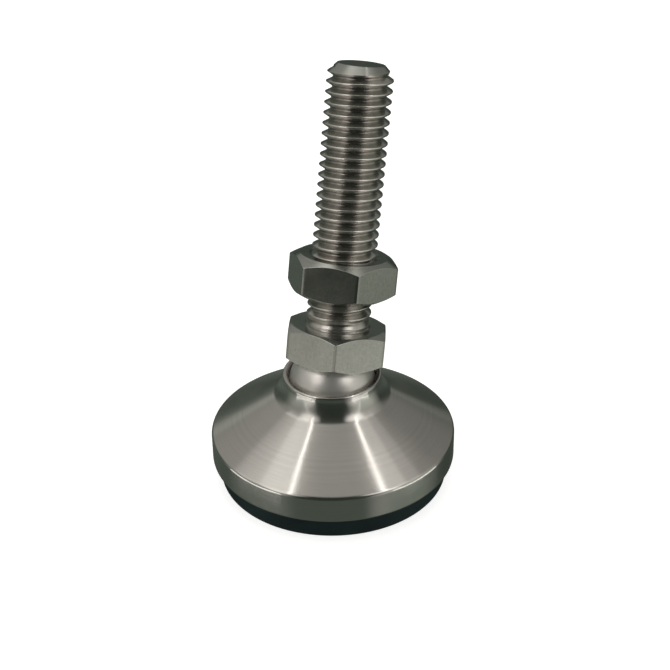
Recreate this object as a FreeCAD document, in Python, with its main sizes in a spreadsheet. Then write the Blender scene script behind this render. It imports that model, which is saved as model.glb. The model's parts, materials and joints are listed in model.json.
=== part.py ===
"""Swivel leveling foot: a turned base with a rubber pad, a ball-ended threaded stud and a jam nut.

Millimetres. +Z is up. The origin is the centre of the pad's underside, where the foot stands. The stud is
drawn upright about its ball's centre, and then leans about that centre.
"""

import FreeCAD, Part
import os

import Sketcher

DRIVING_SIZES = {
    # base
    "rim_radius": 24.45,
    "rim_bottom": 4.65,
    "rim_top": 10.15,
    "rim_edge": 0.4,
    "cone_top_radius": 11.55,
    "cone_top_height": 18.25,
    "flare_radius": 6.0,
    "lip_radius": 9.8,
    "lip_height": 23.0,
    "lip_round": 0.4,
    "mouth_radius": 9.05,
    "mouth_depth": 0.4,
    # pad
    "pad_radius": 22.9,
    "pad_thickness": 6.35,
    "pad_edge": 0.5,
    "recess_gap": 0.1,
    # ball joint
    "ball_radius": 8.73,
    "ball_height": 20.0,
    "seat_gap": 0.05,
    "ring_wire": 0.6,
    "ring_gap": 0.03,
    "ring_rise": 12.0,
    "ring_opening": 24.0,
    "groove_depth_gap": 0.19,
    "groove_side_gap": 0.03,
    "lean": 13.4,
    "lean_heading": 25.55,
    # hexagons
    "across_flats": 18.9,
    "hexagon_chamfer": 30.0,
    "wrench_bottom": 5.55,
    "wrench_length": 7.05,
    "wrench_face_radius": 9.2,
    "wrench_turn": 87.15,
    "nut_bottom": 18.95,
    "nut_length": 7.85,
    "nut_face_radius": 8.55,
    "nut_turn": 44.05,
    # thread, 1/2-13
    "thread_radius": 6.3,
    "thread_pitch": 1.9538,
    "thread_depth": 1.2,
    "thread_crest": 0.245,
    "thread_flank": 30.0,
    "thread_overcut": 0.1,
    "first_groove": 13.674,
    "stud_length": 63.2,
    "end_face_radius": 4.5,
    "bore_gap": 0.05,
    "countersink_radius": 6.8,
    # how far a cutting outline runs past the metal
    "overshoot": 1.0,
}

# A hexagon's corner is 30 degrees round from the middle of its flat.
CORNER_RADIUS = "([across_flats] / 2 / cos(30))"
# The middle of the retaining ring's wire, which lies just off the ball, above the ball's widest place.
WIRE_OFF_CENTRE = "([ball_radius] + [ring_gap] + [ring_wire] / 2)"
WIRE_ACROSS = f"({WIRE_OFF_CENTRE} * cos([ring_rise]))"
WIRE_UP = f"([ball_height] + {WIRE_OFF_CENTRE} * sin([ring_rise]))"

# How a sketch numbers its axes and the points of an edge.
HORIZONTAL_AXIS, VERTICAL_AXIS = -1, -2
START, END, CENTRE = 1, 2, 3
ORIGIN_POINT = (-1, 1)

SAME_PLACE = 1e-4
LEAST_CUT = 1e-6

doc = FreeCAD.newDocument("leveling_foot")


def make_sheet():
    """The driving sizes, one named cell each."""
    sheet = doc.addObject("Spreadsheet::Sheet", "Sizes")
    for row, (name, value) in enumerate(DRIVING_SIZES.items(), start=1):
        sheet.set(f"A{row}", name)
        sheet.set(f"B{row}", str(value))
        sheet.setAlias(f"B{row}", name)
    doc.recompute()
    return sheet


sheet = make_sheet()


def formula(text):
    """A formula over the sheet's names, in the form that an expression takes."""
    for name in sorted(DRIVING_SIZES, key=len, reverse=True):
        text = text.replace(f"[{name}]", f"Sizes.{name}")
    return text


def value(text):
    """What a formula comes to."""
    result = sheet.evalExpression(formula(text))
    return float(getattr(result, "Value", result))


def new_body(label):
    body = doc.addObject("PartDesign::Body", label)
    body.Label = label
    return body


def plane(body, role):
    """One of the body's own origin planes."""
    return next(f for f in body.Origin.OriginFeatures if f.Role == role)


def new_sketch(body, name, role, offset=None):
    """A sketch on one of the body's origin planes, lifted off it by a formula if one is given."""
    sketch = body.newObject("Sketcher::SketchObject", name)
    sketch.AttachmentSupport = [(plane(body, role), "")]
    sketch.MapMode = "FlatFace"
    if offset:
        sketch.setExpression("AttachmentOffset.Base.z", formula(offset))
    return sketch


def constrain(sketch, kind, *where, size):
    """A dimension bound to a formula."""
    number = sketch.addConstraint(Sketcher.Constraint(kind, *where, value(size)))
    sketch.setExpression(f"Constraints[{number}]", formula(size))


def place_point(sketch, side, end, across, up):
    """Pin a corner at a distance across from the axis and a height up. None is on the axis itself."""
    for amount, kind, axis in ((across, "DistanceX", VERTICAL_AXIS), (up, "DistanceY", HORIZONTAL_AXIS)):
        if amount is None:
            sketch.addConstraint(Sketcher.Constraint("PointOnObject", side, end, axis))
        else:
            constrain(sketch, kind, *ORIGIN_POINT, side, end, size=amount)


def turned_outline(body, name, corners, arcs=None):
    """A closed outline beside the turning axis.

    corners are (across, up) formulas, None for zero. arcs maps the number of a corner to the radius of the
    arc from it to the next corner, minus for an arc that curves the other way.
    """
    sketch = new_sketch(body, name, "XZ_Plane")
    arcs = arcs or {}
    points = []
    for across, up in corners:
        points.append(FreeCAD.Vector(value(across) if across else 0, value(up) if up else 0, 0))
    for number, start in enumerate(points):
        finish = points[(number + 1) % len(points)]
        if number in arcs:
            sketch.addGeometry(arc_between(start, finish, value(arcs[number])))
        else:
            sketch.addGeometry(Part.LineSegment(start, finish))
    ends = []
    for number in range(len(points)):
        runs_back = number in arcs and value(arcs[number]) < 0
        ends.append((END, START) if runs_back else (START, END))
    for number, (across, up) in enumerate(corners):
        following = (number + 1) % len(points)
        place_point(sketch, number, ends[number][0], across, up)
        joined = (number, ends[number][1], following, ends[following][0])
        sketch.addConstraint(Sketcher.Constraint("Coincident", *joined))
    for number, radius in arcs.items():
        constrain(sketch, "Radius", number, size=f"abs({radius})")
    return sketch


def arc_between(start, finish, radius):
    """The shorter arc between two points, anticlockwise from start to finish for a positive radius.

    A negative radius bends it the other way: that arc is drawn anticlockwise from finish to start.
    """
    first, last = (start, finish) if radius > 0 else (finish, start)
    chord = last - first
    half = chord.Length / 2
    rise = (radius ** 2 - half ** 2) ** 0.5
    centre = first + chord * 0.5 + FreeCAD.Vector(-chord.y, chord.x, 0).normalize() * rise
    circle = Part.Circle(centre, FreeCAD.Vector(0, 0, 1), abs(radius))
    return Part.ArcOfCircle(circle, circle.parameter(first), circle.parameter(last))


def turned(body, kind, name, sketch, angle=360.0):
    """A Revolution or a Groove of a sketch about its vertical axis."""
    feature = body.newObject(f"PartDesign::{kind}", name)
    feature.Profile = sketch
    feature.ReferenceAxis = (sketch, ["V_Axis"])
    feature.Angle = angle
    doc.recompute()
    return feature


def groove(body, name, corners, arcs=None):
    """Turn a closed outline out of the body. Stops if that takes nothing away."""
    before = body.Shape.Volume
    turned(body, "Groove", name, turned_outline(body, f"{name}_outline", corners, arcs))
    check_cut(body, before, name)


def check_cut(body, volume_before, name):
    """Stop if a cut took nothing away."""
    if not body.Shape.Volume < volume_before - LEAST_CUT:
        raise ValueError(f"{name} cut nothing")


def edges_at(feature, radius, height):
    """Names of the round edges of a radius at a height."""
    names = []
    for number, edge in enumerate(feature.Shape.Edges, start=1):
        box = edge.BoundBox
        off = max(box.ZLength, abs(box.ZMin - height), abs(box.XMax - radius))
        if off < SAME_PLACE:
            names.append(f"Edge{number}")
    return names


def eased(body, kind, name, radius, height, size):
    """A Fillet or a Chamfer on the round edge of a radius at a height."""
    before = body.Tip
    feature = body.newObject(f"PartDesign::{kind}", name)
    feature.Base = (before, edges_at(before, value(radius), value(height)))
    feature.setExpression("Radius" if kind == "Fillet" else "Size", formula(size))
    doc.recompute()
    return feature


def hexagon(body, name, bottom, length):
    """A hexagonal prism along the axis, with two corners on the X axis."""
    sketch = new_sketch(body, f"{name}_outline", "XY_Plane", bottom)
    corner_radius = value(CORNER_RADIUS)
    turns = [FreeCAD.Rotation(FreeCAD.Vector(0, 0, 1), 60 * number) for number in range(6)]
    corners = [turn.multVec(FreeCAD.Vector(corner_radius, 0, 0)) for turn in turns]
    for number, start in enumerate(corners):
        sketch.addGeometry(Part.LineSegment(start, corners[(number + 1) % 6]))
    circle = sketch.addGeometry(Part.Circle(FreeCAD.Vector(), FreeCAD.Vector(0, 0, 1), corner_radius), True)
    for number in range(6):
        sketch.addConstraint(Sketcher.Constraint("Coincident", number, END, (number + 1) % 6, START))
        sketch.addConstraint(Sketcher.Constraint("PointOnObject", number, START, circle))
    for number in range(1, 6):
        sketch.addConstraint(Sketcher.Constraint("Equal", 0, number))
    sketch.addConstraint(Sketcher.Constraint("Coincident", circle, CENTRE, *ORIGIN_POINT))
    sketch.addConstraint(Sketcher.Constraint("PointOnObject", 0, START, HORIZONTAL_AXIS))
    constrain(sketch, "Radius", circle, size=CORNER_RADIUS)
    pad = body.newObject("PartDesign::Pad", name)
    pad.Profile = sketch
    pad.setExpression("Length", formula(length))
    doc.recompute()


def chamfer_corners(body, name, face_radius, face_height, inward):
    """Turn the hexagon's corners down at one end: inward is + where the metal lies above the end face."""
    clear = f"({CORNER_RADIUS} + [overshoot])"
    slope = f"({clear} - {face_radius}) * tan([hexagon_chamfer])"
    corners = [
        (face_radius, face_height),
        (clear, f"{face_height} {inward} {slope}"),
        (clear, face_height),
    ]
    groove(body, name, corners)


def build_base():
    """One turning: rim, cone, flared neck, ball seat, ring groove and the recess for the pad."""
    body = new_body("base")
    corners = [
        (None, "[rim_bottom]"),
        ("[rim_radius]", "[rim_bottom]"),
        ("[rim_radius]", "[rim_top]"),
        ("[cone_top_radius]", "[cone_top_height]"),
        ("[lip_radius]", "[lip_height]"),
        (None, "[lip_height]"),
    ]
    turned(body, "Revolution", "turning", turned_outline(body, "outline", corners, {3: "-[flare_radius]"}))

    seat = "([ball_radius] + [seat_gap])"
    corners = [
        (None, f"[ball_height] - {seat}"),
        (seat, "[ball_height]"),
        (seat, "[lip_height] - [mouth_depth]"),
        ("[mouth_radius]", "[lip_height]"),
        ("[mouth_radius]", "[lip_height] + [overshoot]"),
        (None, "[lip_height] + [overshoot]"),
    ]
    groove(body, "ball_seat", corners, {0: seat})

    half = "([ring_wire] / 2 + [groove_side_gap])"
    deepest = f"{WIRE_ACROSS} + [ring_wire] / 2 + [groove_depth_gap]"
    corners = [
        ("[ball_radius]", f"{WIRE_UP} - {half}"),
        (deepest, f"{WIRE_UP} - {half}"),
        (deepest, f"{WIRE_UP} + {half}"),
        ("[ball_radius]", f"{WIRE_UP} + {half}"),
    ]
    groove(body, "ring_groove", corners)

    recess = "[pad_radius] + [recess_gap]"
    corners = [
        (None, "[rim_bottom] - [overshoot]"),
        (recess, "[rim_bottom] - [overshoot]"),
        (recess, "[pad_thickness]"),
        (None, "[pad_thickness]"),
    ]
    groove(body, "pad_recess", corners)

    eased(body, "Fillet", "rim_top_edge", "[rim_radius]", "[rim_top]", "[rim_edge]")
    eased(body, "Chamfer", "rim_bottom_edge", "[rim_radius]", "[rim_bottom]", "[rim_edge]")
    eased(body, "Fillet", "lip_edge", "[lip_radius]", "[lip_height]", "[lip_round]")
    return body


def build_pad():
    """The rubber disc that the foot stands on, its top in the base's recess."""
    body = new_body("rubber_pad")
    corners = [
        (None, None),
        ("[pad_radius]", None),
        ("[pad_radius]", "[pad_thickness]"),
        (None, "[pad_thickness]"),
    ]
    turned(body, "Revolution", "disc", turned_outline(body, "outline", corners))
    eased(body, "Fillet", "foot_edge", "[pad_radius]", "0", "[pad_edge]")
    return body


def build_ring():
    """The open wire ring that holds the ball down, in its groove just above the ball's widest place."""
    body = new_body("retaining_ring")
    sketch = new_sketch(body, "wire_section", "XZ_Plane")
    centre = FreeCAD.Vector(value(WIRE_ACROSS), value(WIRE_UP), 0)
    sketch.addGeometry(Part.Circle(centre, FreeCAD.Vector(0, 0, 1), value("[ring_wire] / 2")))
    place_point(sketch, 0, CENTRE, WIRE_ACROSS, WIRE_UP)
    constrain(sketch, "Radius", 0, size="[ring_wire] / 2")
    wire = turned(body, "Revolution", "wire", sketch)
    wire.setExpression("Angle", formula("360 - [ring_opening]"))
    return body


def build_stud():
    """One piece from its ball's centre up: ball, wrench hexagon, thread and chamfered end."""
    body = new_body("ball_stud")
    wrench_top = "([wrench_bottom] + [wrench_length])"
    corners = [
        (None, "-[ball_radius]"),
        ("sqrt([ball_radius]^2 - [wrench_bottom]^2)", "[wrench_bottom]"),
        ("[thread_radius]", "[wrench_bottom]"),
        ("[thread_radius]", "[stud_length] - ([thread_radius] - [end_face_radius])"),
        ("[end_face_radius]", "[stud_length]"),
        (None, "[stud_length]"),
    ]
    turned(body, "Revolution", "turning", turned_outline(body, "outline", corners, {0: "[ball_radius]"}))
    hexagon(body, "wrench_hexagon", "[wrench_bottom]", "[wrench_length]")
    chamfer_corners(body, "lower_corners", "[wrench_face_radius]", "[wrench_bottom]", "+")
    chamfer_corners(body, "upper_corners", "[wrench_face_radius]", wrench_top, "-")
    cut_thread(body)
    return body


def cut_thread(body):
    """The right-hand thread groove, from just above the wrench hexagon to past the stud's end."""
    sketch = new_sketch(body, "thread_groove_outline", "YZ_Plane")
    half_mouth = "([thread_pitch] - [thread_crest]) / 2"
    half_root = f"{half_mouth} - [thread_depth] * tan([thread_flank])"
    half_clear = f"{half_mouth} + [thread_overcut] * tan([thread_flank])"
    root, clear = "[thread_radius] - [thread_depth]", "[thread_radius] + [thread_overcut]"
    corners = [
        (root, f"[first_groove] - ({half_root})"),
        (clear, f"[first_groove] - ({half_clear})"),
        (clear, f"[first_groove] + ({half_clear})"),
        (root, f"[first_groove] + ({half_root})"),
    ]
    points = [FreeCAD.Vector(value(across), value(up), 0) for across, up in corners]
    for number, start in enumerate(points):
        sketch.addGeometry(Part.LineSegment(start, points[(number + 1) % 4]))
    for number, (across, up) in enumerate(corners):
        sketch.addConstraint(Sketcher.Constraint("Coincident", number, END, (number + 1) % 4, START))
        place_point(sketch, number, START, across, up)
    before = body.Shape.Volume
    helix = body.newObject("PartDesign::SubtractiveHelix", "thread_groove")
    helix.Profile = sketch
    helix.ReferenceAxis = (sketch, ["V_Axis"])
    helix.Mode = "pitch-height-angle"
    helix.setExpression("Pitch", formula("[thread_pitch]"))
    helix.setExpression("Height", formula("[stud_length] - [first_groove] + [thread_pitch]"))
    doc.recompute()
    check_cut(body, before, "thread_groove")


def build_nut():
    """The jam nut: a low hexagon, chamfered and countersunk at both ends, bored to run over the thread."""
    body = new_body("jam_nut")
    nut_top = "([nut_bottom] + [nut_length])"
    hexagon(body, "hexagon", "[nut_bottom]", "[nut_length]")
    chamfer_corners(body, "lower_corners", "[nut_face_radius]", "[nut_bottom]", "+")
    chamfer_corners(body, "upper_corners", "[nut_face_radius]", nut_top, "-")
    bore = "([thread_radius] + [bore_gap])"
    depth = f"([countersink_radius] - {bore})"
    corners = [
        (None, "[nut_bottom]"),
        ("[countersink_radius]", "[nut_bottom]"),
        (bore, f"[nut_bottom] + {depth}"),
        (bore, f"{nut_top} - {depth}"),
        ("[countersink_radius]", nut_top),
        (None, nut_top),
    ]
    groove(body, "bore", corners)
    return body


def lean(body, turn):
    """Stand a piece of the stud on the ball's centre, turned about its own axis and then leant over.

    The lean is towards lean_heading, measured from +Y towards +X.
    """
    heading = FreeCAD.Rotation(FreeCAD.Vector(0, 0, 1), -value("[lean_heading]"))
    tilt_axis = heading.multVec(FreeCAD.Vector(-1, 0, 0))
    tilt = FreeCAD.Rotation(tilt_axis, value("[lean]"))
    spin = FreeCAD.Rotation(FreeCAD.Vector(0, 0, 1), value(turn))
    body.Placement = FreeCAD.Placement(FreeCAD.Vector(0, 0, value("[ball_height]")), tilt * spin)


base = build_base()
pad = build_pad()
ring = build_ring()
stud = build_stud()
nut = build_nut()
lean(stud, "[wrench_turn]")
lean(nut, "[nut_turn]")
doc.recompute()

pieces = [base, pad, ring, stud, nut]
for thing in doc.Objects:
    if "Invalid" in thing.State or "Error" in thing.State:
        raise ValueError(f"{thing.Label} failed: {thing.State}")
for piece in pieces:
    if piece.Shape.isNull() or not piece.Shape.isValid():
        raise ValueError(f"{piece.Label} has no valid shape")

os.makedirs("parts", exist_ok=True)
for piece in pieces:
    piece.Shape.exportStep(f"parts/{piece.Label}.step")
    box = piece.Shape.BoundBox
    print(f"{piece.Label}: {piece.Shape.Volume:.1f} mm3, z {box.ZMin:.2f} to {box.ZMax:.2f}")
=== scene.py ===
import json
import math

import bpy
from mathutils import Matrix, Vector


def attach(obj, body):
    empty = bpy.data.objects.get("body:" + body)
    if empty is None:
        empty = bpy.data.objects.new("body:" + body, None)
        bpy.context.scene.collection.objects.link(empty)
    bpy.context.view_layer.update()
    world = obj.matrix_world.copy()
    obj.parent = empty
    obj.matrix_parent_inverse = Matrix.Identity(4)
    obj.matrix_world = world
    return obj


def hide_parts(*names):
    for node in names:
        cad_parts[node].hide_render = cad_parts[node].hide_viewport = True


# Looks for the swivel leveling foot: turned stainless steel, a threaded stud, a jam nut and a rubber pad.
# The foot's own sizes are in millimetres along its axes; MM turns them into the frame's metres.

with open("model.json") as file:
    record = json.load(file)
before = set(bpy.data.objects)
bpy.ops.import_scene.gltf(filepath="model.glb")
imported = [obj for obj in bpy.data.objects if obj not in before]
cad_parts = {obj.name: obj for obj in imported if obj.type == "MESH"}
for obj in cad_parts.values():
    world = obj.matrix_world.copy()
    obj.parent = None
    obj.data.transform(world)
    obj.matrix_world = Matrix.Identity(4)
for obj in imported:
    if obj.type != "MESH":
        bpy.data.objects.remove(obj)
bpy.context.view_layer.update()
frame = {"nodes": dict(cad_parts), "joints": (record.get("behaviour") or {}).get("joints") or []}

MM = 0.001
TURN = 2 * math.pi
# places that are closer together than this count as the same
NEAR = 0.001

# base: radii about +Z and heights above the floor
RIM_RADIUS, RIM_BOTTOM, RIM_TOP = 24.45, 4.65, 10.15
CONE_TOP_RADIUS, CONE_TOP_HEIGHT = 11.55, 18.25
FLARE_RADIUS = 6.0
LIP_RADIUS, LIP_HEIGHT = 9.8, 23.0
MOUTH_RADIUS, MOUTH_DEPTH = 9.05, 0.4
BALL_RADIUS, BALL_HEIGHT, SEAT_GAP = 8.73, 20.0, 0.05
RING_GROOVE_BOTTOM, RING_GROOVE_TOP, RING_GROOVE_RADIUS = 21.554, 22.214, 9.352
# how far from its corner each rounding of the base starts
LIP_ROUND, NECK_ROUND, RIM_TOP_ROUND, RIM_BOTTOM_ROUND, EDGE_BREAK = 0.5, 0.3, 0.5, 0.35, 0.05
# the flare's steps, and how many of them its roundings at the lip and at the cone take up
FLARE_STEPS, LIP_STEPS, NECK_STEPS = 24, 5, 2

# pad
PAD_RADIUS, PAD_THICKNESS, PAD_EDGE, PAD_BACK_EDGE = 22.9, 6.35, 0.5, 0.15
RECESS_GAP = 0.1

# hexagons: distances along the stud from the ball's centre, the radii of their end faces, and their turns
# about the stud in degrees
HALF_FLATS = 9.45
HALF_CORNERS = HALF_FLATS / math.cos(math.radians(30))
HEXAGON_CHAMFER = math.tan(math.radians(30))
WRENCH_BOTTOM, WRENCH_TOP, WRENCH_FACE, WRENCH_TURN = 5.55, 12.6, 9.2, 27.15
NUT_BOTTOM, NUT_TOP, NUT_FACE, NUT_TURN = 18.95, 26.8, 8.55, 44.05
BORE_RADIUS, COUNTERSINK_RADIUS = 6.35, 6.8
FACE_EDGE_ROUND, FLAT_EDGE_ROUND = 0.04, 0.07
# the rounding of a hexagon's corner, and how much lower the corner is for it, as a part of the rounding
CORNER_ROUND, CORNER_DROP = 0.36, 0.155

# shank and thread, 1/2-13
THREAD_RADIUS, THREAD_DEPTH, THREAD_PITCH, CREST_WIDTH = 6.3, 1.2, 25.4 / 13, 0.245
ROOT_ROUND, CREST_ROUND = 0.14, 0.1
# the fillet at the shank's foot, and how far its middle is from its corner, as a part of its size
SHANK_FILLET, FILLET_MIDDLE = 0.12, 0.3
# the end face, the width of its outer ring of faces, and the radius of its innermost one
STUD_END, END_FACE_RADIUS, END_FACE_EDGE, END_FACE_CENTRE = 63.2, 4.5, 0.1, 0.3
# how near to the end's chamfer the thread eases into it
CHAMFER_EASE = 0.06
# where the thread groove starts, as a distance and a turn, and how it runs out below: the turns after its
# start over which it deepens, and the part of its depth that is left below them
GROOVE_START, GROOVE_TURN = 13.674, 177.15
DEEPENS_FROM, DEEPENS_TO, LEFT_BELOW = 0.3, 1.35, 0.24
# turns of the thread's grid to spare at each end, held to the end's ring
SPARE_TURNS = 2

# which of its piece's finishes a face has
TURNED, FLAT, FACED, BALL = 0, 1, 2, 3

# columns round a turned piece, and on one side of a hexagon between its corners
AROUND = 288
SIDE_COLUMNS = 30
# columns beside a hexagon's corner, as parts of its rounding
CORNER_COLUMNS = (0.34, 0.67, 1.0, 1.7)
# the angle between two faces from which their edge looks sharp
SHARP_FROM = 28

# camera: millimetres for its lens, metres for its place, degrees for its angles
LENS, SENSOR = 75.22, 36.0
VIEW_DISTANCE, VIEW_ELEVATION = 0.27795, 32.60
VIEW_TARGET = Vector((0, 0, 0.019845))
AIM_ACROSS, AIM_UP, ROLL = -0.111, 2.0422, -0.907

# tints of the light
WARM = (1.0, 0.965, 0.945)
CREAM = (1.0, 0.985, 0.93)
GREEN = (0.86, 1.06, 0.88)

# soft patches of light in the surroundings: azimuth, elevation and reach in degrees, and radiance
GLOWS = [
    (-52, -14, 18, 0.35),
    (44, -22, 18, 0.4),
    (-50, 38, 21, 1.0),
    (47, 39, 20, 1.35),
    (180, 67, 26, 0.6),
    (-78, 54, 30, 0.1),
    (70, 50, 26, 0.06),
    (-144.4, 13.3, 7, 0.16),
    (149.7, 7.5, 6, 0.12),
]

# colours that each material goes between, dark and light
BASE_TONES = ((0.57, 0.552, 0.517), (0.65, 0.628, 0.593))
THREAD_TONES = ((0.70, 0.66, 0.62), (0.82, 0.78, 0.74))
# painted shade for the thread's roots: darker tones that fade out towards the crests
ROOT_SHADE_TONES = ((0.33, 0.305, 0.28), (0.429, 0.3965, 0.364))
FACED_TONES = ((0.40, 0.415, 0.385), (0.53, 0.53, 0.495))
BALL_TONES = ((0.82, 0.785, 0.74), (0.88, 0.845, 0.80))
HEXAGON_TONES = ((0.365, 0.355, 0.325), (0.475, 0.46, 0.42))
RUBBER_TONES = ((0.003, 0.011, 0.0115), (0.006, 0.018, 0.0175))
WIRE_TONES = ((0.33, 0.33, 0.31), (0.5, 0.5, 0.48))


def rounded(points, cuts, steps=4, support=0.12):
    """A polyline with rounded corners, and a point close to each end of its straight runs.

    cuts has how far before and after a corner its rounding reaches, by the corner's number.
    """
    count = len(points)
    points = [Vector(p) for p in points]
    path = []
    for number, point in enumerate(points):
        cut = cuts.get(number, 0) if 0 < number < count - 1 else 0
        if cut == 0:
            path.append(point)
        else:
            first = point + (points[number - 1] - point).normalized() * cut
            last = point + (points[number + 1] - point).normalized() * cut
            for step in range(steps + 1):
                t = step / steps
                path.append((1 - t) ** 2 * first + 2 * t * (1 - t) * point + t ** 2 * last)
        if number < count - 1:
            run = points[number + 1] - point
            next_cut = cuts.get(number + 1, 0) if number + 1 < count - 1 else 0
            if run.length > cut + next_cut + 3 * support:
                path.append(point + run.normalized() * (cut + support))
                path.append(points[number + 1] - run.normalized() * (next_cut + support))
    return path


def arc(centre, radius, first, last, steps):
    """Points of an arc between two angles in degrees, both ends in."""
    angles = [math.radians(first + (last - first) * step / steps) for step in range(steps + 1)]
    return [Vector((centre[0] + radius * math.cos(a), centre[1] + radius * math.sin(a))) for a in angles]


def arc_through(start, finish, radius, steps):
    """Points of the shorter arc between two points that bows towards the turning axis."""
    start, finish = Vector(start), Vector(finish)
    chord = finish - start
    across = Vector((chord.y, -chord.x)).normalized()
    centre = (start + finish) / 2 + across * math.sqrt(radius ** 2 - (chord.length / 2) ** 2)
    first = math.degrees(math.atan2(start.y - centre.y, start.x - centre.x))
    last = math.degrees(math.atan2(finish.y - centre.y, finish.x - centre.x))
    if last - first > 180:
        last -= 360
    if first - last > 180:
        last += 360
    return arc(centre, radius, first, last, steps)


def make_piece(name, skin, place, finishes):
    """A mesh piece from a skin, with the skin's grain as its UV map and its faces' finishes as materials."""
    mesh = bpy.data.meshes.new(name)
    mesh.from_pydata([place @ (Vector(p) * MM) for p in skin.points], [], skin.faces)
    grain = mesh.uv_layers.new(name="grain")
    grain.uv.foreach_set("vector", [number for face in skin.face_grain for pair in face for number in pair])
    mesh.shade_smooth()
    mesh.set_sharp_from_angle(angle=math.radians(SHARP_FROM))
    for finish in finishes:
        mesh.materials.append(finish)
    mesh.polygons.foreach_set("material_index", skin.finishes)
    piece = bpy.data.objects.new(name, mesh)
    bpy.context.scene.collection.objects.link(piece)
    return piece


class Skin:
    """Points and faces of a surface that goes round an axis in columns.

    Its grain is a pair for each corner of a face: the way along the outline in metres and the part of a turn.
    """

    def __init__(self, angles):
        """An empty skin, with its columns at the angles."""
        self.angles = angles
        self.points = []
        self.faces = []
        self.face_grain = []
        self.finishes = []
        self.finish = TURNED

    def ring(self, radii_and_heights):
        """A ring of points, one in each column, or a single point where it is on the axis."""
        first = len(self.points)
        if radii_and_heights[0][0] < NEAR:
            self.points.append((0, 0, radii_and_heights[0][1]))
            return [first] * len(self.angles)
        for angle, (radius, height) in zip(self.angles, radii_and_heights):
            self.points.append((radius * math.cos(angle), radius * math.sin(angle), height))
        return list(range(first, len(self.points)))

    def even_ring(self, radius, height):
        """A ring with the same radius and height in each column."""
        return self.ring([(radius, height)] * len(self.angles))

    def face(self, indices, grain):
        """A face in the finish that is set, with repeated points left out."""
        kept = []
        kept_grain = []
        for index, pair in zip(indices, grain):
            if index not in kept:
                kept.append(index)
                kept_grain.append(pair)
        if len(kept) > 2:
            self.faces.append(kept)
            self.face_grain.append(kept_grain)
            self.finishes.append(self.finish)

    def band(self, lower, upper, along_lower, along_upper):
        """The faces between two rings. Their outside is on the right of the way from lower to upper."""
        count = len(self.angles)
        for column in range(count):
            after = (column + 1) % count
            here = self.angles[column] / TURN
            there = self.angles[after] / TURN + (1 if after == 0 else 0)
            self.face(
                (lower[column], lower[after], upper[after], upper[column]),
                ((along_lower, here), (along_lower, there), (along_upper, there), (along_upper, here)),
            )

    def lathe(self, profile, joined=None):
        """Bands along a profile of (radius, height). Returns the last ring.

        It starts from the ring joined, if one is given.
        """
        along = 0.0
        last_ring = joined if joined is not None else self.even_ring(*profile[0])
        for before, point in zip(profile, profile[1:]):
            step = (Vector(point) - Vector(before)).length
            next_ring = self.even_ring(*point)
            self.band(last_ring, next_ring, along * MM, (along + step) * MM)
            along += step
            last_ring = next_ring
        return last_ring


def even_angles(count):
    """Angles of columns that are evenly spread."""
    return [TURN * number / count for number in range(count)]


def hexagon_angles(turn):
    """Column angles with one at each corner of a hexagon, closer together where the corner is rounded."""
    half_round = math.degrees(CORNER_ROUND / HALF_CORNERS)
    near = [half_round * part for part in CORNER_COLUMNS]
    between = (60 - 2 * near[-1]) / SIDE_COLUMNS
    side = [0.0] + near
    side += [near[-1] + between * number for number in range(1, SIDE_COLUMNS)]
    side += [60 - step for step in reversed(near)]
    angles = [turn + 60 * number + step for number in range(6) for step in side]
    return [math.radians(angle) for angle in sorted(angle % 360 for angle in angles)]


def eased(part):
    """A smooth step from 0 to 1."""
    return part ** 2 * (3 - 2 * part)


def hexagon_radius(angle, turn):
    """How far the hexagon's outline is from its axis, with slightly rounded corners."""
    off_corner = abs((math.degrees(angle) - turn + 30) % 60 - 30)
    straight = HALF_FLATS / math.cos(math.radians(30 - off_corner))
    across = HALF_CORNERS * math.sin(math.radians(off_corner))
    if across > CORNER_ROUND:
        return straight
    return straight - CORNER_ROUND * CORNER_DROP * eased(1 - across / CORNER_ROUND)


def hexagon_skin(skin, turn, bottom, top, face_radius, inner_bottom, inner_top, joined):
    """A chamfered hexagon from an inner circle underneath to an inner circle on top. Returns its last ring.

    It starts from the ring joined.
    """
    cuts = {1: FACE_EDGE_ROUND, 2: FLAT_EDGE_ROUND, 3: FLAT_EDGE_ROUND, 4: FACE_EDGE_ROUND}
    columns = []
    for angle in skin.angles:
        wall = hexagon_radius(angle, turn)
        drop = (wall - face_radius) * HEXAGON_CHAMFER
        outline = [
            (inner_bottom, bottom),
            (face_radius, bottom),
            (wall, bottom + drop),
            (wall, top - drop),
            (face_radius, top),
            (inner_top, top),
        ]
        columns.append(rounded(outline, cuts, steps=3, support=0.03))
    wall = max(point.x for point in columns[0])
    along = 0.0
    last_ring = joined
    for number in range(1, len(columns[0])):
        before, here = columns[0][number - 1], columns[0][number]
        step = (here - before).length
        on_flat = min(before.x, here.x) > wall - NEAR
        skin.finish = FLAT if on_flat else FACED
        next_ring = skin.ring([column[number] for column in columns])
        skin.band(last_ring, next_ring, along * MM, (along + step) * MM)
        along += step
        last_ring = next_ring
    skin.finish = TURNED
    return last_ring


def thread_profile():
    """One pitch of the thread, groove to groove, as (part of the pitch, depth below the crest)."""
    half_mouth = (THREAD_PITCH - CREST_WIDTH) / 2
    half_root = half_mouth - THREAD_DEPTH * math.tan(math.radians(30))
    outline = [
        (0, THREAD_DEPTH),
        (half_root, THREAD_DEPTH),
        (half_mouth, 0),
        (THREAD_PITCH - half_mouth, 0),
        (THREAD_PITCH - half_root, THREAD_DEPTH),
        (THREAD_PITCH, THREAD_DEPTH),
    ]
    cuts = {1: ROOT_ROUND, 2: CREST_ROUND, 3: CREST_ROUND, 4: ROOT_ROUND}
    path = rounded(outline, cuts, steps=3, support=0.1)
    return [(point.x / THREAD_PITCH, point.y) for point in path[:-1]]


def softer_least(first, second, reach):
    """The lesser of two numbers, eased where they are closer together than the reach."""
    ease = max(reach - abs(first - second), 0.0) / reach
    return min(first, second) - ease ** 2 * reach / 4


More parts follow.
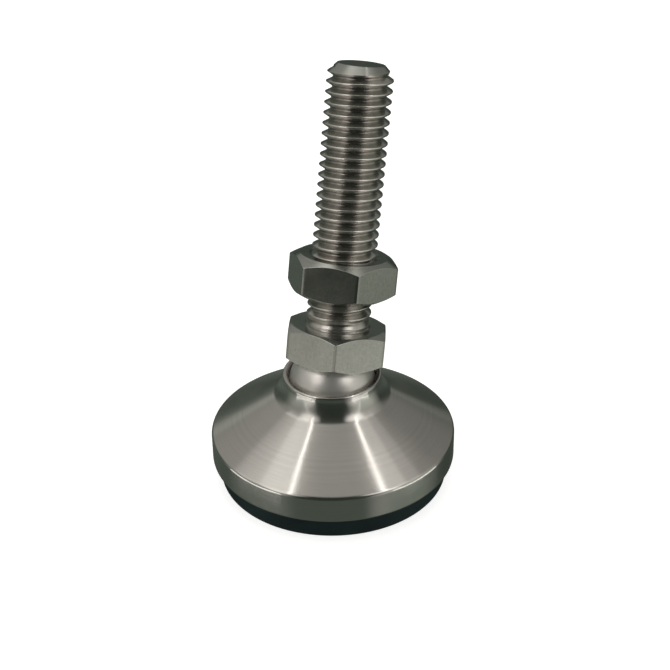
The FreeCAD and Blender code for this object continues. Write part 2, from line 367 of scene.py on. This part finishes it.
def thread_skin(skin, joined, start):
    """The thread, along its helix, from the ring joined to the end's chamfer. Returns the end face's ring."""
    end_ring = skin.even_ring(END_FACE_RADIUS, STUD_END)
    profile = thread_profile()
    rows_per_turn = len(profile)
    first_turn = math.floor((start - GROOVE_START) / THREAD_PITCH) - SPARE_TURNS
    turns = math.ceil((STUD_END - start) / THREAD_PITCH) + 2 * SPARE_TURNS
    made = {}

    def chamfer_radius(distance):
        """The radius of the end's chamfer, 45 degrees to the axis."""
        return END_FACE_RADIUS + (STUD_END - distance)

    def place(column, row):
        """Where a grid point is, as (radius, distance), held to the stretch between the start and the end."""
        part, depth = profile[row % rows_per_turn]
        turns_up = first_turn + row // rows_per_turn + skin.angles[column] / TURN - GROOVE_TURN / 360 + part
        distance = min(max(GROOVE_START + THREAD_PITCH * turns_up, start), STUD_END)
        along = min(max((turns_up - DEEPENS_FROM) / (DEEPENS_TO - DEEPENS_FROM), 0.0), 1.0)
        deepened = LEFT_BELOW + (1 - LEFT_BELOW) * eased(along)
        deepened *= min((distance - start) / SHANK_FILLET, 1.0)
        threaded = THREAD_RADIUS - depth * deepened
        return softer_least(threaded, chamfer_radius(distance), CHAMFER_EASE), distance

    def point(column, row):
        """The index of a grid point, made the first time that it is asked for."""
        if column == len(skin.angles):
            column, row = 0, row + rows_per_turn
        radius, distance = place(column, row)
        if distance <= start:
            return joined[column]
        if distance >= STUD_END:
            return end_ring[column]
        if (column, row) not in made:
            made[column, row] = len(skin.points)
            angle = skin.angles[column]
            skin.points.append((radius * math.cos(angle), radius * math.sin(angle), distance))
        return made[column, row]

    def on_chamfer(column, row):
        """Whether a grid point is on the end's chamfer."""
        radius, distance = place(column % len(skin.angles), row)
        return radius > chamfer_radius(distance) - CHAMFER_EASE / 2

    row_length = THREAD_PITCH / rows_per_turn * MM
    angles = [angle / TURN for angle in skin.angles] + [1 + skin.angles[0] / TURN]
    for column, (here, there) in enumerate(zip(angles, angles[1:])):
        for row in range(turns * rows_per_turn):
            low, high = row * row_length, (row + 1) * row_length
            skin.finish = FACED if on_chamfer(column, row) and on_chamfer(column, row + 1) else TURNED
            corners = [(column, row), (column + 1, row), (column + 1, row + 1), (column, row + 1)]
            grain = ((low, here), (low, there), (high, there), (high, here))
            skin.face([point(*corner) for corner in corners], grain)
    return end_ring


def base_profile():
    """The base's outline, from the middle of the ball seat up, out, down and under to the recess's middle."""
    seat = BALL_RADIUS + SEAT_GAP
    cone_top = (CONE_TOP_RADIUS, CONE_TOP_HEIGHT)
    mouth_top = (MOUTH_RADIUS, LIP_HEIGHT)
    lip_top = (LIP_RADIUS, LIP_HEIGHT)
    inside = [
        (seat, BALL_HEIGHT),
        (seat, RING_GROOVE_BOTTOM),
        (RING_GROOVE_RADIUS, RING_GROOVE_BOTTOM),
        (RING_GROOVE_RADIUS, RING_GROOVE_TOP),
        (seat, RING_GROOVE_TOP),
        (seat, LIP_HEIGHT - MOUTH_DEPTH),
        mouth_top,
    ]
    flare = list(reversed(arc_through(cone_top, lip_top, FLARE_RADIUS, FLARE_STEPS)))[LIP_STEPS:-NECK_STEPS]
    recess = PAD_RADIUS + RECESS_GAP
    outside = [
        flare[-1],
        cone_top,
        (RIM_RADIUS, RIM_TOP),
        (RIM_RADIUS, RIM_BOTTOM),
        (recess, RIM_BOTTOM),
        (recess, PAD_THICKNESS),
        (0, PAD_THICKNESS),
    ]
    cuts = {1: NECK_ROUND, 2: RIM_TOP_ROUND, 3: RIM_BOTTOM_ROUND, 4: EDGE_BREAK, 5: EDGE_BREAK}
    path = arc((0, BALL_HEIGHT), seat, -90, 0, steps=24)
    path += rounded(inside, {5: EDGE_BREAK})[1:]
    path += rounded([mouth_top, lip_top, flare[0]], {1: LIP_ROUND}, steps=8)[1:-1]
    return path + flare + rounded(outside, cuts, steps=8)[1:]


def stud_matrix(pivot, along):
    """Places the stud's own axes: centre on the pivot and Z along the stud, leant over without a twist."""
    lean = Vector((0, 0, 1)).rotation_difference(along)
    return Matrix.Translation(pivot) @ lean.to_matrix().to_4x4()


def build_base(finish):
    """The base, one turned skin."""
    skin = Skin(even_angles(AROUND))
    skin.lathe(list(reversed(base_profile())))
    return make_piece("turned_base", skin, Matrix(), [finish])


def build_pad(finish):
    """The rubber pad, out underneath and back over the top, so that its outside is on the right."""
    skin = Skin(even_angles(AROUND))
    outline = [(0, 0), (PAD_RADIUS, 0), (PAD_RADIUS, PAD_THICKNESS), (0, PAD_THICKNESS)]
    skin.lathe(rounded(outline, {1: PAD_EDGE, 2: PAD_BACK_EDGE}, steps=6))
    return make_piece("moulded_pad", skin, Matrix(), [finish])


def build_stud(finishes, place):
    """The stud, one skin from under its ball to its end face."""
    skin = Skin(hexagon_angles(WRENCH_TURN))
    skin.finish = BALL
    ball_end = math.asin(WRENCH_BOTTOM / BALL_RADIUS)
    ball_top = skin.lathe(arc((0, 0), BALL_RADIUS, -90, math.degrees(ball_end), steps=60))
    neck = BALL_RADIUS * math.cos(ball_end)
    foot = THREAD_RADIUS + SHANK_FILLET
    wrench_top = hexagon_skin(skin, WRENCH_TURN, WRENCH_BOTTOM, WRENCH_TOP, WRENCH_FACE, neck, foot, ball_top)
    middle = FILLET_MIDDLE * SHANK_FILLET
    fillet = [
        (foot, WRENCH_TOP),
        (THREAD_RADIUS + middle, WRENCH_TOP + middle),
        (THREAD_RADIUS, WRENCH_TOP + SHANK_FILLET),
    ]
    shank_foot = skin.lathe(fillet, wrench_top)
    end_ring = thread_skin(skin, shank_foot, WRENCH_TOP + SHANK_FILLET)
    skin.finish = FACED
    end_face = [END_FACE_RADIUS, END_FACE_RADIUS - END_FACE_EDGE, END_FACE_CENTRE, 0]
    skin.lathe([(radius, STUD_END) for radius in end_face], end_ring)
    return make_piece("threaded_stud", skin, place, finishes)


def build_nut(finishes, place):
    """The jam nut: its hexagon from the bore's lower edge to its upper one, and then the bore back down."""
    skin = Skin(hexagon_angles(NUT_TURN))
    depth = COUNTERSINK_RADIUS - BORE_RADIUS
    mouth = COUNTERSINK_RADIUS
    lower_mouth = skin.even_ring(mouth, NUT_BOTTOM)
    upper_mouth = hexagon_skin(skin, NUT_TURN, NUT_BOTTOM, NUT_TOP, NUT_FACE, mouth, mouth, lower_mouth)
    bore = [(mouth, NUT_TOP), (BORE_RADIUS, NUT_TOP - depth), (BORE_RADIUS, NUT_BOTTOM + depth)]
    bore_foot = skin.lathe(bore, upper_mouth)
    # the grain goes on from the bore, over the countersink that joins it to the hexagon's first ring
    along = math.hypot(depth, depth) + bore[1][1] - bore[2][1]
    skin.band(bore_foot, lower_mouth, along * MM, (along + depth) * MM)
    return make_piece("plain_jam_nut", skin, place, finishes)


class Nodes:
    """The node tree of a material or a world, with short calls to add to it."""

    def __init__(self, owner):
        """The nodes of a material or a world. shader is the material's own, and None in a world."""
        owner.use_nodes = True
        self.owner = owner
        self.tree = owner.node_tree
        self.shader = self.tree.nodes.get("Principled BSDF")

    def add(self, kind, **settings):
        """A new node. A setting is the value of one of its inputs, or else one of its own properties."""
        node = self.tree.nodes.new(kind)
        for name, setting in settings.items():
            if name in node.inputs:
                node.inputs[name].default_value = setting
            else:
                setattr(node, name, setting)
        return node

    def link(self, output, target):
        """Joins an output to an input."""
        self.tree.links.new(output, target)

    def grain(self):
        """Distance along the turned profile and part of a turn round it, as a vector."""
        return self.add("ShaderNodeUVMap", uv_map="grain").outputs["UV"]

    def place(self):
        """Where a point is on its piece, in metres, as a vector."""
        return self.add("ShaderNodeTexCoord").outputs["Object"]

    def stretched(self, vector, scale):
        """A vector with each of its parts scaled."""
        node = self.add("ShaderNodeMapping", vector_type="POINT")
        node.inputs["Scale"].default_value = scale
        self.link(vector, node.inputs["Vector"])
        return node.outputs["Vector"]

    def noise(self, vector, scale, detail=3.0, roughness=0.5):
        """A smooth random value, mostly from 0.3 to 0.7."""
        node = self.add("ShaderNodeTexNoise", Scale=scale, Detail=detail, Roughness=roughness)
        self.link(vector, node.inputs["Vector"])
        return node.outputs["Fac"]

    def spread(self, value, low, high, from_low=0.3, from_high=0.7, smooth=False):
        """A value moved from one range to another, and held at its ends."""
        node = self.add("ShaderNodeMapRange")
        if smooth:
            node.interpolation_type = "SMOOTHSTEP"
        node.inputs["From Min"].default_value = from_low
        node.inputs["From Max"].default_value = from_high
        node.inputs["To Min"].default_value = low
        node.inputs["To Max"].default_value = high
        self.link(value, node.inputs["Value"])
        return node.outputs["Result"]

    def math(self, operation, first, second):
        """Maths on an output, and on a number or another output."""
        node = self.add("ShaderNodeMath", operation=operation)
        self.link(first, node.inputs[0])
        if isinstance(second, (int, float)):
            node.inputs[1].default_value = second
        else:
            self.link(second, node.inputs[1])
        return node.outputs["Value"]

    def weighted(self, *parts):
        """The sum of values, each times its weight. A part is (value, weight)."""
        scaled = [self.math("MULTIPLY", value, weight) for value, weight in parts]
        total = scaled[0]
        for value in scaled[1:]:
            total = self.math("ADD", total, value)
        return total

    def vector(self, operation, first, second):
        """Vector maths on two outputs. The second one of SCALE is a number."""
        node = self.add("ShaderNodeVectorMath", operation=operation)
        self.link(first, node.inputs[0])
        self.link(second, node.inputs["Scale"] if operation == "SCALE" else node.inputs[1])
        return node.outputs["Vector"]

    def tinted(self, value, colour):
        """A colour scaled by a value."""
        node = self.add("ShaderNodeVectorMath", operation="SCALE")
        node.inputs[0].default_value = colour
        self.link(value, node.inputs["Scale"])
        return node.outputs["Vector"]

    def ramp(self, value, stops):
        """Colours by a value: stops are (place, colour)."""
        node = self.add("ShaderNodeValToRGB")
        elements = node.color_ramp.elements
        while len(elements) < len(stops):
            elements.new(0.5)
        for element, (place, colour) in zip(elements, stops):
            element.position = place
            element.color = (*colour, 1)
        self.link(value, node.inputs["Fac"])
        return node.outputs["Color"]

    def toned(self, value, tones, low, high):
        """A dark and a light tone by a value: dark up to the low end, and light from the high one."""
        return self.ramp(value, [(low, tones[0]), (high, tones[1])])

    def mixed(self, factor, first, second):
        """The first colour where the factor is 0, and the second where it is 1."""
        node = self.add("ShaderNodeMix", data_type="RGBA")
        self.link(factor, node.inputs["Factor"])
        self.link(first, node.inputs["A"])
        self.link(second, node.inputs["B"])
        return node.outputs["Result"]

    def bump(self, height, distance, strength=1.0, before=None):
        """Normals bent by a height, after another bump if one is given."""
        node = self.add("ShaderNodeBump", Distance=distance, Strength=strength)
        self.link(height, node.inputs["Height"])
        if before is not None:
            self.link(before, node.inputs["Normal"])
        return node.outputs["Normal"]

    def to_shader(self, output, socket):
        """Joins an output to one of the shader's inputs."""
        self.link(output, self.shader.inputs[socket])


def turned_metal(name, tones, roughness, along_blur, line_depth, metallic=1.0, shaded_root_tones=None):
    """Stainless steel turned on a lathe: fine lines round the axis, so that highlights run along the profile.

    A thread has painted shade in its roots: darker root tones, which give way to the metal's own towards its
    crests.
    """
    nodes = Nodes(bpy.data.materials.new(name))
    nodes.shader.inputs["Metallic"].default_value = metallic
    nodes.shader.inputs["Anisotropic"].default_value = along_blur
    tangent = nodes.add("ShaderNodeTangent", direction_type="UV_MAP", uv_map="grain")
    nodes.to_shader(tangent.outputs["Tangent"], "Tangent")
    grain = nodes.grain()
    fine = nodes.noise(nodes.stretched(grain, (5200, 0, 0)), 1.0, detail=3.0, roughness=0.6)
    broad = nodes.noise(nodes.stretched(grain, (1500, 0, 0)), 1.0, detail=2.0)
    patches = nodes.noise(nodes.place(), 130.0, detail=3.0)
    shades = nodes.weighted((broad, 0.25), (fine, 0.45), (patches, 0.3))
    colour = nodes.toned(shades, tones, 0.38, 0.62)
    # painted shade: the thread's roots are darker, fading out towards the crests and broken up by the fine
    # lines
    if shaded_root_tones is not None:
        half_pitch = THREAD_PITCH / 2 * MM
        along = nodes.add("ShaderNodeSeparateXYZ")
        nodes.link(grain, along.inputs["Vector"])
        off_root = nodes.math("PINGPONG", along.outputs["X"], half_pitch)
        crested = nodes.spread(off_root, 0, 0.75, 0, half_pitch)
        root_shade_fade = nodes.math("ADD", crested, nodes.math("MULTIPLY", fine, 0.5))
        shaded_root_colour = nodes.toned(shades, shaded_root_tones, 0.38, 0.62)
        colour = nodes.mixed(nodes.spread(root_shade_fade, 0, 1, 0.3, 0.85), shaded_root_colour, colour)
    nodes.to_shader(colour, "Base Color")
    nodes.to_shader(nodes.spread(patches, roughness - 0.02, roughness + 0.03), "Roughness")
    nodes.to_shader(nodes.bump(fine, line_depth * MM), "Normal")
    return nodes.owner


def milled_metal(name, tones, roughness, streak_depth):
    """Drawn hexagon bar: faint streaks along the axis, mottled and slightly worn."""
    nodes = Nodes(bpy.data.materials.new(name))
    nodes.shader.inputs["Metallic"].default_value = 1.0
    grain = nodes.grain()
    streaks = nodes.noise(nodes.stretched(grain, (300, 260, 0)), 1.0, detail=4.0, roughness=0.7)
    mottle = nodes.noise(nodes.place(), 1800.0, detail=5.0, roughness=0.75)
    patches = nodes.noise(nodes.place(), 160.0, detail=3.0)
    shades = nodes.weighted((streaks, 0.25), (mottle, 0.75))
    nodes.to_shader(nodes.toned(shades, tones, 0.35, 0.65), "Base Color")
    nodes.to_shader(nodes.spread(patches, roughness - 0.04, roughness + 0.05), "Roughness")
    lines = nodes.bump(streaks, streak_depth * MM)
    nodes.to_shader(nodes.bump(mottle, streak_depth * MM, 0.5, before=lines), "Normal")
    return nodes.owner


def rubber():
    """Black moulded rubber with a fine pebbled skin."""
    nodes = Nodes(bpy.data.materials.new("moulded_rubber"))
    nodes.shader.inputs["Specular IOR Level"].default_value = 0.2
    place = nodes.place()
    pebbles = nodes.noise(place, 2600.0, detail=3.0)
    patches = nodes.noise(place, 160.0, detail=3.0)
    nodes.to_shader(nodes.toned(patches, RUBBER_TONES, 0.3, 0.7), "Base Color")
    nodes.to_shader(nodes.spread(patches, 0.55, 0.72), "Roughness")
    nodes.to_shader(nodes.bump(pebbles, 0.03 * MM, 0.5), "Normal")
    return nodes.owner


def spring_wire():
    """Drawn spring wire for the retaining ring, with lines along the wire."""
    nodes = Nodes(bpy.data.materials.new("drawn_wire"))
    nodes.shader.inputs["Metallic"].default_value = 1.0
    lines = nodes.noise(nodes.stretched(nodes.place(), (400, 400, 9000)), 1.0, detail=3.0)
    nodes.to_shader(nodes.toned(lines, WIRE_TONES, 0.3, 0.7), "Base Color")
    nodes.to_shader(nodes.spread(lines, 0.3, 0.45), "Roughness")
    nodes.to_shader(nodes.bump(lines, 0.01 * MM, 0.4), "Normal")
    return nodes.owner


def set_camera():
    """A camera that looks at the foot from in front and above."""
    data = bpy.data.cameras.new("view")
    data.lens = LENS
    data.sensor_width = SENSOR
    data.clip_start, data.clip_end = 0.01, 20
    camera = bpy.data.objects.new("view", data)
    bpy.context.scene.collection.objects.link(camera)
    elevation = math.radians(VIEW_ELEVATION)
    camera.location = VIEW_TARGET + VIEW_DISTANCE * Vector((0, -math.cos(elevation), math.sin(elevation)))
    level = Matrix.Rotation(math.pi / 2 - elevation, 3, "X")
    aim = (
        Matrix.Rotation(math.radians(ROLL), 3, "Z")
        @ Matrix.Rotation(math.radians(AIM_UP), 3, "X")
        @ Matrix.Rotation(math.radians(AIM_ACROSS), 3, "Y")
    )
    camera.rotation_mode = "QUATERNION"
    camera.rotation_quaternion = (level @ aim).to_quaternion()
    bpy.context.scene.camera = camera


def around(azimuth, elevation, distance):
    """A point about the foot: azimuth 0 is in front and 90 on the right, in degrees."""
    a, e = math.radians(azimuth), math.radians(elevation)
    return Vector((math.sin(a) * math.cos(e), -math.cos(a) * math.cos(e), math.sin(e))) * distance


def strip(name, first, last, width, radiance, colour=WARM):
    """A long soft light from one point about the foot to another, facing the foot.

    first and last are (azimuth, elevation, distance), and radiance is how bright its face looks.
    """
    ends = [around(*first), around(*last)]
    run = ends[1] - ends[0]
    data = bpy.data.lights.new(name, "AREA")
    data.shape = "RECTANGLE"
    data.size, data.size_y = width, run.length
    data.energy = radiance * math.pi * width * run.length
    data.color = colour
    light = bpy.data.objects.new(name, data)
    middle = (ends[0] + ends[1]) / 2
    back = (middle - VIEW_TARGET).normalized()
    side = run.normalized().cross(back).normalized()
    long_way = back.cross(side)
    light.matrix_world = Matrix.Translation(middle) @ Matrix((side, long_way, back)).transposed().to_4x4()
    light.visible_camera = False
    bpy.context.scene.collection.objects.link(light)
    return light


def set_lights():
    """Narrow strips up and down both sides, low cards near the base, and soft boxes beyond them.

    The key light isn't seen in the metal.
    """
    strip("strip_left", (-42.6, 40, 0.9), (-99.2, 74, 0.9), 0.017, 4.4)
    strip("strip_right", (48.9, 40, 0.9), (105.1, 72, 0.9), 0.034, 2.3)
    strip("low_left", (-42.6, 39, 0.9), (-60, -12, 0.9), 0.05, 0.3)
    strip("low_right", (48.9, 39, 0.9), (60, -12, 0.9), 0.05, 0.42)
    strip("card_left", (-35, 3.6, 0.046), (-78, 3.6, 0.05), 0.006, 1.9)
    strip("card_right", (39, 3.6, 0.046), (78, 3.6, 0.05), 0.006, 1.8)
    strip("soft_left", (-64, 42, 0.84), (-90, 63, 0.95), 0.26, 0.3)
    strip("soft_right", (64, 42, 0.84), (88, 63, 0.95), 0.24, 0.3)
    strip("wide_left", (-73, 36, 0.88), (-98, 55, 1.0), 0.62, 0.34)
    strip("wide_right", (68, 38, 0.88), (92, 60, 1.0), 0.46, 0.2)
    key = strip("key", (0, 89, 1.0), (180, 60, 1.15), 0.9, 1.6, colour=(1, 1, 1))
    key.visible_glossy = False


def layer(nodes, height, stops):
    """Colours by height. A stop is the upward part of the direction, the radiance and how green it is."""
    colours = []
    for up, radiance, green in stops:
        tint = [pale + (cool - pale) * green for pale, cool in zip(CREAM, GREEN)]
        colours.append(((up + 1) / 2, [radiance * part for part in tint]))
    return nodes.ramp(height, colours)


def glow(nodes, where, azimuth, elevation, reach, radiance):
    """A soft round patch of light about one direction, gone at the reach in degrees."""
    nearness = nodes.add("ShaderNodeVectorMath", operation="DOT_PRODUCT")
    nodes.link(where, nearness.inputs[0])
    nearness.inputs[1].default_value = around(azimuth, elevation, 1)
    edge = math.cos(math.radians(reach))
    return nodes.spread(nearness.outputs["Value"], 0, radiance, edge, 1, smooth=True)


def set_world():
    """Dim surroundings, by direction: dark in front, a green-grey table below, a pale ceiling, and glows."""
    world = bpy.data.worlds.new("studio")
    bpy.context.scene.world = world
    nodes = Nodes(world)
    where = nodes.add("ShaderNodeTexCoord").outputs["Generated"]
    split = nodes.add("ShaderNodeSeparateXYZ")
    nodes.link(where, split.inputs["Vector"])
    across, back = split.outputs["X"], split.outputs["Y"]
    height = nodes.spread(split.outputs["Z"], 0, 1, -1, 1)
    in_front = layer(nodes, height, [
        (-1, 0.13, 1), (-0.54, 0.11, 1), (-0.36, 0.04, 1), (0.6, 0.035, 1), (0.82, 0.05, 0.6),
        (0.90, 0.24, 0), (0.96, 0.34, 0), (1, 0.37, 0),
    ])
    behind = layer(nodes, height, [
        (-1, 0.07, 1), (-0.6, 0.07, 1), (-0.35, 0.12, 1), (-0.15, 0.06, 1), (0.08, 0.064, 1), (0.15, 0.13, 1),
        (0.22, 0.24, 0.3), (0.4, 0.28, 0), (0.75, 0.32, 0), (0.92, 0.55, 0), (1, 0.38, 0),
    ])
    beside = layer(nodes, height, [
        (-1, 0.08, 1), (-0.58, 0.14, 1), (-0.44, 0.27, 0.6), (-0.25, 0.46, 0.4), (-0.03, 0.46, 0.3),
        (0.15, 0.35, 0.2), (0.42, 0.38, 0.1), (0.62, 0.5, 0), (0.8, 0.38, 0), (1, 0.36, 0),
    ])
    behind = nodes.vector("SCALE", behind, nodes.spread(across, 1.26, 0.82, -0.55, 0.55))
    beside = nodes.vector("SCALE", beside, nodes.spread(across, 0.84, 1.2, -0.7, 0.7))
    front_to_back = nodes.mixed(nodes.spread(back, 0, 1, -0.4, 0.05), in_front, behind)
    sideways = nodes.spread(nodes.math("ABSOLUTE", across, 0), 0, 1, 0.5, 0.78)
    not_behind = nodes.spread(back, 1, 0, -0.05, 0.38)
    painted = nodes.mixed(nodes.math("MULTIPLY", sideways, not_behind), front_to_back, beside)
    for azimuth, elevation, reach, radiance in GLOWS:
        patch = glow(nodes, where, azimuth, elevation, reach, radiance)
        painted = nodes.vector("ADD", painted, nodes.tinted(patch, WARM))
    nodes.link(painted, world.node_tree.nodes["Background"].inputs["Color"])


def pale(name, grey, glowing):
    """A grey that also gives off white light of its own."""
    nodes = Nodes(bpy.data.materials.new(name))
    nodes.shader.inputs["Base Color"].default_value = (grey, grey, grey, 1)
    nodes.shader.inputs["Emission Color"].default_value = (1, 1, 1, 1)
    nodes.shader.inputs["Emission Strength"].default_value = glowing
    return nodes


def staged(name, finish):
    """The object just added, named, in a finish, and left out of reflections."""
    thing = bpy.context.object
    thing.name = name
    thing.data.materials.append(finish.owner)
    thing.visible_glossy = False
    thing.visible_transmission = False
    thing.visible_volume_scatter = False
    return thing


def set_stage():
    """A plain pale floor, and a pale surround that only the camera sees."""
    pale_floor = pale("pale_floor", grey=0.6, glowing=0.78)
    pale_floor.shader.inputs["Roughness"].default_value = 0.9
    pale_floor.shader.inputs["Specular IOR Level"].default_value = 0.1
    bpy.ops.mesh.primitive_circle_add(vertices=96, radius=4.0, fill_type="NGON")
    floor = staged("floor", pale_floor)
    bpy.ops.mesh.primitive_uv_sphere_add(segments=48, ring_count=24, radius=4.1)
    surround = staged("surround", pale("pale_surround", grey=0, glowing=1.0))
    surround.visible_diffuse = False
    surround.visible_shadow = False


set_camera()

joints = {joint["name"]: joint for joint in frame["joints"]}
pivot = Vector(joints["tilt"]["pos_m"])
stud_axis = Vector(joints["nut_travel"]["axis"])
leaning = stud_matrix(pivot, stud_axis)

base_steel = turned_metal("turned_steel", BASE_TONES, roughness=0.19, along_blur=0.9, line_depth=0.0008)
stud_steel = turned_metal(
    "threaded_steel", THREAD_TONES, roughness=0.25, along_blur=0.6, line_depth=0.002, shaded_root_tones=ROOT_SHADE_TONES
)
faced_steel = turned_metal("faced_steel", FACED_TONES, roughness=0.2, along_blur=0.4, line_depth=0.003)
ball_steel = turned_metal(
    "ball_steel", BALL_TONES, roughness=0.33, along_blur=0.2, line_depth=0.0008, metallic=0.8
)
hexagon_steel = milled_metal("hexagon_steel", HEXAGON_TONES, roughness=0.25, streak_depth=0.0012)

base = build_base(base_steel)
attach(base, "foot")
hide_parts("base")

pad = build_pad(rubber())
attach(pad, "foot")
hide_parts("rubber_pad")

# the finishes are in the order of TURNED, FLAT, FACED and BALL, and the nut's bore is as its faces
stud = build_stud([stud_steel, hexagon_steel, faced_steel, ball_steel], leaning)
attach(stud, "stud")
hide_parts("ball_stud")

nut = build_nut([faced_steel, hexagon_steel, faced_steel], leaning)
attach(nut, "nut")
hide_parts("jam_nut")

ring = frame["nodes"]["retaining_ring"]
wire = spring_wire()
for slot in ring.material_slots:
    slot.link = "OBJECT"
    slot.material = wire

set_lights()
set_world()
set_stage()
bpy.context.scene.view_settings.view_transform = "Standard"
bpy.context.scene.view_settings.look = "None"
